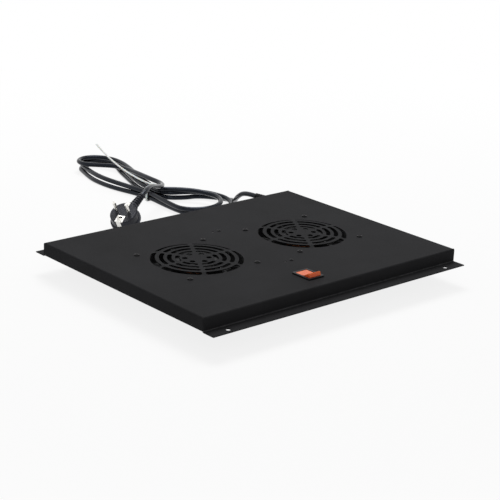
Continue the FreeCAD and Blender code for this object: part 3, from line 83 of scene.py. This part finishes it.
def round_end(centre, radius, sweep, low, high):
    """Control points round an end of the hank, between two angles in degrees, rising from low to high."""
    points = []
    start, end = sweep
    steps = 9
    step_angle = math.radians(end - start) / steps
    reach = radius / math.cos(step_angle / 2)  # so that the curve between the points keeps the radius
    for step in range(steps + 1):
        angle = math.radians(start) + step_angle * step
        level = low + (high - low) * step / steps
        points.append((centre[0] + reach * math.cos(angle), centre[1] + reach * math.sin(angle), level))
    return points


def far_side(level, lean, past_tie):
    """From just past the tie up the far side of the rear lobe."""
    return [past_tie, (0.1195 + lean, 0.3900, level), (0.1285 + lean, 0.4220, level),
            (0.1410 + lean, 0.4570, level), (0.1520 + lean / 2, 0.4880, level)]


def near_side(level, lean, tied_level):
    """Down the near side of the rear lobe and through the tie."""
    return [(0.0915 + lean, 0.4800, level), (0.0890 + lean, 0.4480, level), (0.0915 + lean, 0.4160, level),
            (0.0985, 0.3740, tied_level), (0.1024, 0.3400, tied_level)]


# The two full turns, each with its places in the order in which the cord reaches them. At the end of the
# front lobe it rises to the top of its turn, to lie on it in the next.
full_turns = (
    {"level": floor_level, "lean": 0.0, "past_tie": (0.1195, 0.3680, 0.0048),
     "rear_centre": (0.1340, 0.5180), "rear_radius": 0.0290, "near_lean": 0.0, "tied_level": 0.0048,
     "foot_x": 0.1010, "front_centre": (0.1420, 0.2700), "front_radius": 0.0420, "front_sweep": (184, 380),
     "top": second_level,
     "to_tie": [(0.1740, 0.3070, 0.0112), (0.1530, 0.3190, 0.0116), (0.1195, 0.3350, 0.0115)]},
    {"level": second_level, "lean": 0.003, "past_tie": (0.1208, 0.3720, 0.0114),
     "rear_centre": (0.1350, 0.5170), "rear_radius": 0.0285, "near_lean": 0.005, "tied_level": 0.0118,
     "foot_x": 0.0985, "front_centre": (0.1300, 0.2700), "front_radius": 0.0355, "front_sweep": (182, 372),
     "top": 0.0160,
     "to_tie": [(0.1560, 0.3020, 0.0170), (0.1350, 0.3210, 0.0182), (0.1142, 0.3410, 0.0169)]})

hank_line = []
for turn in full_turns:
    level = turn["level"]
    hank_line += far_side(level, turn["lean"], turn["past_tie"])
    hank_line += round_end(turn["rear_centre"], turn["rear_radius"], rear_sweep, level, level)
    hank_line += near_side(level, turn["near_lean"], turn["tied_level"])
    hank_line.append((turn["foot_x"], foot_y, level))
    hank_line += round_end(
        turn["front_centre"], turn["front_radius"], turn["front_sweep"], level, turn["top"])
    hank_line += turn["to_tie"]

# The third turn of the rear lobe is narrower, and its way back leads over the tie to the plug.
hank_line += far_side(third_level, 0.006, (0.1165, 0.3690, 0.0186))
hank_line += [
    (0.1550, 0.5150, third_level), (0.1420, 0.5370, third_level), (0.1210, 0.5445, third_level),
    (0.1020, 0.5330, third_level), (0.0990, 0.5110, 0.0180), (0.1130, 0.4920, 0.0190),
    (0.1280, 0.4680, 0.0210), (0.1318, 0.4380, 0.0215), (0.1245, 0.4040, 0.0245)]

route = from_wall + hank_line + to_plug
curve = bpy.data.curves.new("mains_cord", "CURVE")
curve.dimensions = "3D"
curve.resolution_u = 10
curve.bevel_depth = 1.0  # a round section, which each point scales to the cord's own radius
curve.bevel_resolution = 5
line = curve.splines.new("NURBS")
line.points.add(len(route) - 1)
for point, place in zip(line.points, route):
    point.co = (*place, 1.0)
    point.radius = cord_diameter / 2
line.order_u = 3
line.use_endpoint_u = True
mains_cord = bpy.data.objects.new("mains_cord", curve)
scene.collection.objects.link(mains_cord)
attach(mains_cord, "tray")
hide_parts("power_cord", "cord_hank", "plug_lead")


def blank_material(name):
    """A new node material: its tree, its shader and the position in the object's own frame."""
    material = bpy.data.materials.new(name)
    material.use_nodes = True
    tree = material.node_tree
    shader = tree.nodes["Principled BSDF"]
    position = tree.nodes.new("ShaderNodeTexCoord").outputs["Object"]
    return material, tree, shader, position


def grain(tree, position, scale, detail, stretch=None):
    """Noise in cells per metre, made finer or coarser along each axis where a stretch is given."""
    if stretch:
        mapping = tree.nodes.new("ShaderNodeMapping")
        mapping.inputs["Scale"].default_value = stretch
        tree.links.new(position, mapping.inputs["Vector"])
        position = mapping.outputs["Vector"]
    noise = tree.nodes.new("ShaderNodeTexNoise")
    noise.inputs["Scale"].default_value = scale
    noise.inputs["Detail"].default_value = detail
    noise.inputs["Roughness"].default_value = 0.55
    tree.links.new(position, noise.inputs["Vector"])
    return noise.outputs["Fac"]


def spread(tree, value, low, high, least=0.3, most=0.7):
    """A value from least to most, spread from low to high. Noise lies mostly between 0.3 and 0.7."""
    ranged = tree.nodes.new("ShaderNodeMapRange")
    ranged.inputs["From Min"].default_value = least
    ranged.inputs["From Max"].default_value = most
    ranged.inputs["To Min"].default_value = low
    ranged.inputs["To Max"].default_value = high
    tree.links.new(value, ranged.inputs["Value"])
    return ranged.outputs["Result"]


def tint(tree, value, first, second):
    """Two colours mixed by a value from 0 to 1."""
    mix = tree.nodes.new("ShaderNodeMix")
    mix.data_type = "RGBA"
    mix.inputs["A"].default_value = (*first, 1.0)
    mix.inputs["B"].default_value = (*second, 1.0)
    tree.links.new(value, mix.inputs["Factor"])
    return mix.outputs["Result"]


def patches(tree, position, scale, dark, light):
    """A colour that goes from dark to light in broad soft patches."""
    return tint(tree, spread(tree, grain(tree, position, scale, detail=4.0), 0.0, 1.0), dark, light)


def relief(tree, shader, height, depth):
    """A height from 0 to 1 stands up from the surface by a depth in metres."""
    bump = tree.nodes.new("ShaderNodeBump")
    bump.inputs["Strength"].default_value = 1.0
    bump.inputs["Distance"].default_value = depth
    tree.links.new(height, bump.inputs["Height"])
    tree.links.new(bump.outputs["Normal"], shader.inputs["Normal"])


def fine_grain(tree, shader, position, pit, rough, depth, stretch=None):
    """A fine grain in the surface's height and in its roughness, between the two values of rough."""
    fine = grain(tree, position, pit, detail=2.0, stretch=stretch)
    tree.links.new(spread(tree, fine, *rough), shader.inputs["Roughness"])
    relief(tree, shader, fine, depth)


def skin(name, dark, light, rough, patch=60.0, pit=1500.0, depth=0.00002, specular=0.5, metal=0.0,
         stretch=None):
    """A finish with broad patches in its colour and a fine grain on its surface."""
    material, tree, shader, position = blank_material(name)
    shader.inputs["Metallic"].default_value = metal
    shader.inputs["Specular IOR Level"].default_value = specular
    tree.links.new(patches(tree, position, patch, dark, light), shader.inputs["Base Color"])
    fine_grain(tree, shader, position, pit, rough, depth, stretch)
    return material


def adjust(material, socket, value):
    """One more setting of a finish's shader."""
    material.node_tree.nodes["Principled BSDF"].inputs[socket].default_value = value


def finish_node(name, material):
    """A CAD node takes this finish in its material slot."""
    slots = nodes[name].material_slots
    for slot in slots:
        slot.material = material
    if not slots:
        nodes[name].data.materials.append(material)


cord_pvc = skin("cord_pvc", (0.0030, 0.0032, 0.0045), (0.0055, 0.0058, 0.0080), rough=(0.10, 0.18),
                patch=40.0, pit=420.0, depth=0.00001, specular=0.26)
adjust(cord_pvc, "Specular Tint", (0.70, 0.80, 1.0, 1.0))
curve.materials.append(cord_pvc)
finish_node("sheath_end", cord_pvc)


# ---------------------------------------------------------------------------------------------------------
# Bushing and tie: a ribbed rubber boot moulded round the cord holds it in the rear wall. A natural white
# nylon tie is pulled round the waist of the hank, and its long tail is left uncut.

boot_rubber = skin("boot_rubber", (0.006, 0.006, 0.0065), (0.011, 0.011, 0.012), rough=(0.5, 0.65),
                   patch=90.0, pit=2500.0, depth=0.00003, specular=0.12)
finish_node("cord_bushing", boot_rubber)

tie_nylon = skin("tie_nylon", (0.70, 0.71, 0.68), (0.82, 0.83, 0.80), rough=(0.25, 0.36),
                 patch=70.0, pit=900.0, depth=0.00002)
adjust(tie_nylon, "Subsurface Weight", 0.15)
finish_node("cable_tie", tie_nylon)


# ---------------------------------------------------------------------------------------------------------
# Plug: a mains plug moulded on the cord in blue-black plastic, with two round nickelled pins and two side
# contacts. A nickelled contact, nearly square, is let in flush with its face round the earth hole.

nickel = skin("nickel", (0.66, 0.65, 0.62), (0.80, 0.79, 0.76), rough=(0.14, 0.24),
              patch=200.0, pit=1400.0, depth=0.000005, metal=1.0)
face_centre = Vector((-0.0140, 0.2530, 0.02585))
pins_point = Vector((-0.475, -0.232, 0.848)).normalized()
pins_line = Vector((0.439, -0.899, 0.0))
pins_apart = (pins_line - pins_point * pins_line.dot(pins_point)).normalized()
cord_side = pins_point.cross(pins_apart)
contact_centre = -0.0117  # along cord_side from the middle of the face
contact_half_width = 0.0058
contact_half_height = 0.0060
earth_hole_centre = -0.0100
earth_hole_radius = 0.0027
behind_face = -0.0006  # the contact colours nothing deeper than this


def along_axis(tree, position, origin, axis):
    """How far a point lies from an origin along an axis, in metres."""
    offset = tree.nodes.new("ShaderNodeVectorMath")
    offset.operation = "SUBTRACT"
    tree.links.new(position, offset.inputs[0])
    offset.inputs[1].default_value = origin
    product = tree.nodes.new("ShaderNodeVectorMath")
    product.operation = "DOT_PRODUCT"
    tree.links.new(offset.outputs["Vector"], product.inputs[0])
    product.inputs[1].default_value = axis
    return product.outputs["Value"]


def combine(tree, operation, first, second=0.0):
    """One calculation on two values, where the second may be a plain number or is left out."""
    step = tree.nodes.new("ShaderNodeMath")
    step.operation = operation
    tree.links.new(first, step.inputs[0])
    if isinstance(second, float):
        step.inputs[1].default_value = second
    else:
        tree.links.new(second, step.inputs[1])
    return step.outputs[0]


def within(tree, value, middle, half):
    """1 where a value lies within half a width of a middle, and 0 elsewhere."""
    away = combine(tree, "ABSOLUTE", combine(tree, "SUBTRACT", value, middle))
    return combine(tree, "LESS_THAN", away, half)


def squared_distance(tree, across, along):
    """The square of how far a point lies from the middle of a circle, from its distances along two axes."""
    return combine(tree, "ADD", combine(tree, "MULTIPLY", across, across),
                   combine(tree, "MULTIPLY", along, along))


def cover(tree, share, under, colour):
    """A colour laid over what is under it, as far as a share from 0 to 1 says."""
    covered = tint(tree, share, (0, 0, 0), colour)
    tree.links.new(under, covered.node.inputs["A"])
    return covered


plug_plastic, tree, shader, position = blank_material("plug_plastic")
shader.inputs["Specular IOR Level"].default_value = 0.22
across_face = along_axis(tree, position, face_centre, pins_apart)
down_face = along_axis(tree, position, face_centre, cord_side)
above_face = along_axis(tree, position, face_centre, pins_point)
contact = combine(tree, "MULTIPLY", within(tree, across_face, 0.0, contact_half_width),
                  within(tree, down_face, contact_centre, contact_half_height))
contact = combine(tree, "MULTIPLY", contact, combine(tree, "GREATER_THAN", above_face, behind_face))
from_hole = squared_distance(tree, combine(tree, "SUBTRACT", down_face, earth_hole_centre), across_face)
in_hole = combine(tree, "LESS_THAN", from_hole, earth_hole_radius ** 2)
past_hole = combine(tree, "GREATER_THAN", from_hole, earth_hole_radius ** 2)
contact = combine(tree, "MULTIPLY", contact, past_hole)
moulding = patches(tree, position, 110.0, (0.006, 0.007, 0.012), (0.017, 0.019, 0.030))
plated = cover(tree, contact, moulding, (0.74, 0.73, 0.70))
# Painted shade: inside the earth hole the colour is near black, darker than the moulding.
hole_shaded = cover(tree, in_hole, plated, (0.0015, 0.0015, 0.0018))
tree.links.new(hole_shaded, shader.inputs["Base Color"])
tree.links.new(contact, shader.inputs["Metallic"])
fine_grain(tree, shader, position, pit=1800.0, rough=(0.24, 0.36), depth=0.00002)
finish_node("plug_body", plug_plastic)
finish_node("plug_pins", nickel)
finish_node("plug_earth_clips", nickel)


# ---------------------------------------------------------------------------------------------------------
# Tray: one folded steel sheet with two pressed grilles, finished in a dark grey powder coat with a fine
# texture. The slot walls carry painted shade, and the bend of each flange carries a painted highlight.

grille_x = 0.088  # from the middle of the tray to the middle of each grille
slots_radius = 0.059  # round the outermost slots of a grille
edge_facing = 0.6  # a face whose normal rises by less than this is an edge
bend_y = 0.1585  # where the front and rear walls turn outwards into the flanges
bend_z = 0.0290
bend_half_width = 0.0009

tray_paint, tree, shader, position = blank_material("tray_paint")
shader.inputs["Specular IOR Level"].default_value = 0.02
coat_colour = patches(tree, position, 14.0, (0.0178, 0.0178, 0.0188), (0.0222, 0.0222, 0.0236))
place = tree.nodes.new("ShaderNodeSeparateXYZ")
tree.links.new(position, place.inputs["Vector"])
facing = tree.nodes.new("ShaderNodeSeparateXYZ")
tree.links.new(tree.nodes.new("ShaderNodeNewGeometry").outputs["Normal"], facing.inputs["Vector"])
# Painted shade: the upright faces within the outermost slots of each grille, which are the slot walls, are
# coloured near black instead of the coat.
edge_on = combine(tree, "LESS_THAN", combine(tree, "ABSOLUTE", facing.outputs["Z"]), edge_facing)
from_grille_x = combine(tree, "SUBTRACT", combine(tree, "ABSOLUTE", place.outputs["X"]), grille_x)
from_grille = squared_distance(tree, from_grille_x, place.outputs["Y"])
slot_wall_shade = combine(tree, "MULTIPLY", edge_on, combine(tree, "LESS_THAN", from_grille, slots_radius ** 2))
# Painted highlight: a thin, uneven light line along the bend where each front and rear wall turns out into
# its flange.
bend_highlight = combine(tree, "MULTIPLY",
                 within(tree, combine(tree, "ABSOLUTE", place.outputs["Y"]), bend_y, bend_half_width),
                 within(tree, place.outputs["Z"], bend_z, bend_half_width))
unevenly = spread(tree, grain(tree, position, 180.0, detail=3.0), 0.35, 1.0)
bend_highlight = combine(tree, "MULTIPLY", bend_highlight, unevenly)
with_slot_shade = cover(tree, slot_wall_shade, coat_colour, (0.0035, 0.0035, 0.0038))
with_bend_highlight = cover(tree, bend_highlight, with_slot_shade, (0.065, 0.065, 0.068))
tree.links.new(with_bend_highlight, shader.inputs["Base Color"])
fine_grain(tree, shader, position, pit=2600.0, rough=(0.55, 0.7), depth=0.00003)
finish_node("tray_panel", tray_paint)


# ---------------------------------------------------------------------------------------------------------
# Fans: two axial mains fans, each with a die-cast frame in black enamel, a black impeller on a steel
# rotor, a wound stator of steel sheets and sleeve bearings of bronze. A plated wire guard is screwed
# under each frame.

cast_black = skin("cast_black", (0.008, 0.008, 0.009), (0.016, 0.016, 0.017), rough=(0.45, 0.62),
                  patch=80.0, pit=1100.0, depth=0.00006, specular=0.12)
impeller_black = skin("impeller_black", (0.007, 0.007, 0.008), (0.013, 0.013, 0.014),
                      rough=(0.42, 0.55), pit=1600.0, depth=0.00003, specular=0.12)
steel = skin("turned_steel", (0.36, 0.36, 0.37), (0.52, 0.52, 0.53), rough=(0.24, 0.4),
             patch=150.0, pit=1200.0, depth=0.00001, metal=1.0, stretch=(1, 1, 12))
laminations = skin("laminations", (0.10, 0.10, 0.11), (0.30, 0.30, 0.31), rough=(0.4, 0.55),
                   patch=180.0, pit=600.0, depth=0.00004, metal=1.0, stretch=(0.2, 0.2, 5))
bronze = skin("sintered_bronze", (0.30, 0.17, 0.07), (0.46, 0.28, 0.12), rough=(0.35, 0.5),
              patch=300.0, pit=3500.0, depth=0.00004, metal=1.0)
copper = skin("enamelled_copper", (0.34, 0.11, 0.04), (0.55, 0.20, 0.07), rough=(0.2, 0.32),
              patch=250.0, pit=1500.0, depth=0.00006, metal=1.0, stretch=(0.3, 0.3, 3))
guard_chrome = skin("guard_chrome", (0.60, 0.60, 0.62), (0.74, 0.74, 0.76), rough=(0.12, 0.22),
                    patch=120.0, pit=1000.0, depth=0.00001, metal=1.0)
lead_pvc = skin("lead_pvc", (0.010, 0.010, 0.011), (0.018, 0.018, 0.020), rough=(0.35, 0.5),
                patch=120.0, pit=1200.0, depth=0.00003, specular=0.3)
fan_finishes = {
    "frame": cast_black, "impeller": impeller_black, "rotor": steel, "shaft": steel, "clip": steel,
    "bearings": bronze, "stator": laminations, "coils": copper, "guard": guard_chrome, "lead": lead_pvc}
for fan in ("fan_1", "fan_2"):
    for piece, finish in fan_finishes.items():
        finish_node(f"{fan}_{piece}", finish)


# ---------------------------------------------------------------------------------------------------------
# Screws and nuts: black zinc-plated screws with crossed heads hold the fans and the wire saddles to the
# tray. Bright zinc-plated ones hold the guards, and the nuts and the earth stud have the same plating.

black_zinc = skin("black_zinc", (0.0025, 0.0025, 0.003), (0.006, 0.006, 0.0065), rough=(0.28, 0.4),
                  patch=400.0, pit=2500.0, depth=0.00002, specular=0.06)
zinc = skin("bright_zinc", (0.44, 0.45, 0.47), (0.62, 0.63, 0.64), rough=(0.22, 0.36),
            patch=350.0, pit=2200.0, depth=0.00001, metal=1.0)
for fixing in ("fan_screws", "saddle_screws"):
    finish_node(fixing, black_zinc)
for fixing in ("fan_nuts", "guard_screws", "guard_nuts", "earth_stud", "earth_nuts"):
    finish_node(fixing, zinc)


# ---------------------------------------------------------------------------------------------------------
# Switch: a black nylon housing clipped into the tray, with a glossy orange rocker that lets light through
# and a small neon lamp under it. Push-on sleeves of pale grey plastic cover its brass tabs.

switch_black = skin("switch_black", (0.0035, 0.0035, 0.004), (0.007, 0.007, 0.0075), rough=(0.28, 0.38),
                    patch=150.0, pit=2000.0, depth=0.00002, specular=0.1)
rocker_orange = skin("rocker_orange", (0.80, 0.115, 0.024), (0.90, 0.165, 0.038), rough=(0.08, 0.14),
                     patch=90.0, pit=900.0, depth=0.000005, specular=0.22)
adjust(rocker_orange, "Subsurface Weight", 0.15)
lamp_glass = skin("lamp_glass", (0.80, 0.36, 0.16), (0.90, 0.48, 0.24), rough=(0.04, 0.08),
                  patch=300.0, pit=900.0, depth=0.000002)
tab_brass = skin("tab_brass", (0.52, 0.42, 0.26), (0.66, 0.56, 0.38), rough=(0.25, 0.38),
                 patch=300.0, pit=1500.0, depth=0.00001, metal=1.0)
sleeve = skin("sleeve", (0.42, 0.42, 0.40), (0.55, 0.55, 0.52), rough=(0.3, 0.42),
              patch=200.0, pit=1500.0, depth=0.00002)
finish_node("switch_housing", switch_black)
finish_node("switch_rocker", rocker_orange)
finish_node("switch_lamp", lamp_glass)
finish_node("switch_tabs", tab_brass)
finish_node("tab_sleeves", sleeve)


# ---------------------------------------------------------------------------------------------------------
# Wiring: brown, blue and green cores in PVC run from the end of the cord's sheath to the switch and the
# earth stud. Two black nylon saddles hold them and the fan leads under the tray, along its centre line.

nylon_black = skin("nylon_black", (0.010, 0.010, 0.011), (0.017, 0.017, 0.018), rough=(0.35, 0.48),
                   patch=150.0, pit=1800.0, depth=0.00002, specular=0.3)
core_brown = skin("core_brown", (0.10, 0.035, 0.012), (0.15, 0.055, 0.020), rough=(0.32, 0.42))
core_blue = skin("core_blue", (0.012, 0.07, 0.34), (0.018, 0.10, 0.44), rough=(0.32, 0.42))
core_green = skin("core_green", (0.05, 0.26, 0.02), (0.08, 0.36, 0.03), rough=(0.32, 0.42))
finish_node("front_saddle", nylon_black)
finish_node("rear_saddle", nylon_black)
finish_node("core_live", core_brown)
finish_node("core_neutral", core_blue)
finish_node("core_earth", core_green)
finish_node("earth_lug", tab_brass)


# ---------------------------------------------------------------------------------------------------------
# Floor and studio: a pale matt floor keeps the tray's shadow and turns to white further out. The sky is
# even, and looks whiter than the light it gives. A strong soft lamp hangs behind the tray and a weak one
# stands in front of it on the left.

floor_half_width = 14.0
whiteness_near_tray = 0.84
near_tray = 0.35  # out to here from the middle
white_from = 1.3  # and full white from here outwards
sky_light = 0.30
lamps_aim = Vector((0.0, 0.1, 0.0))


def where_seen(tree):
    """1 for what is seen, also in a reflection or through glass, and 0 for light that falls on things."""
    path = tree.nodes.new("ShaderNodeLightPath")
    seen = combine(tree, "MAXIMUM", path.outputs["Is Camera Ray"], path.outputs["Is Glossy Ray"])
    return combine(tree, "MAXIMUM", seen, path.outputs["Is Transmission Ray"])


corners = [(x * floor_half_width, y * floor_half_width, 0) for x, y in ((-1, -1), (1, -1), (1, 1), (-1, 1))]
floor_mesh = bpy.data.meshes.new("studio_floor")
floor_mesh.from_pydata(corners, [], [(0, 1, 2, 3)])
floor = bpy.data.objects.new("studio_floor", floor_mesh)
scene.collection.objects.link(floor)
floor_paint, tree, shader, position = blank_material("floor_paint")
shader.inputs["Base Color"].default_value = (0.86, 0.86, 0.86, 1.0)
shader.inputs["Roughness"].default_value = 0.9
shader.inputs["Specular IOR Level"].default_value = 0.1
white = tree.nodes.new("ShaderNodeEmission")
white.inputs["Color"].default_value = (1.0, 1.0, 1.0, 1.0)
distance = tree.nodes.new("ShaderNodeVectorMath")
distance.operation = "LENGTH"
tree.links.new(position, distance.inputs[0])
whiteness = spread(tree, distance.outputs["Value"], whiteness_near_tray, 1.0, near_tray, white_from)
whiteness.node.interpolation_type = "SMOOTHSTEP"
blend = tree.nodes.new("ShaderNodeMixShader")
tree.links.new(combine(tree, "MULTIPLY", where_seen(tree), whiteness), blend.inputs["Fac"])
tree.links.new(shader.outputs["BSDF"], blend.inputs[1])
tree.links.new(white.outputs["Emission"], blend.inputs[2])
tree.links.new(blend.outputs["Shader"], tree.nodes["Material Output"].inputs["Surface"])
floor_mesh.materials.append(floor_paint)

sky = bpy.data.worlds.new("sky")
scene.world = sky
sky.use_nodes = True
background = sky.node_tree.nodes["Background"]
background.inputs["Color"].default_value = (1.0, 1.0, 1.0, 1.0)
strength = spread(sky.node_tree, where_seen(sky.node_tree), sky_light, 1.0, 0.0, 1.0)
sky.node_tree.links.new(strength, background.inputs["Strength"])

for name, spot, side, power in (
        ("key_lamp", (0.5, 0.9, 2.3), 1.3, 44.0), ("fill_lamp", (-1.3, -1.5, 1.5), 1.1, 7.0)):
    lamp = bpy.data.lights.new(name, "AREA")
    lamp.shape = "SQUARE"
    lamp.size = side
    lamp.energy = power
    holder = bpy.data.objects.new(name, lamp)
    scene.collection.objects.link(holder)
    holder.location = spot
    holder.rotation_mode = "QUATERNION"
    holder.rotation_quaternion = (lamps_aim - Vector(spot)).to_track_quat("-Z", "Y")
scene.view_settings.view_transform = "Standard"
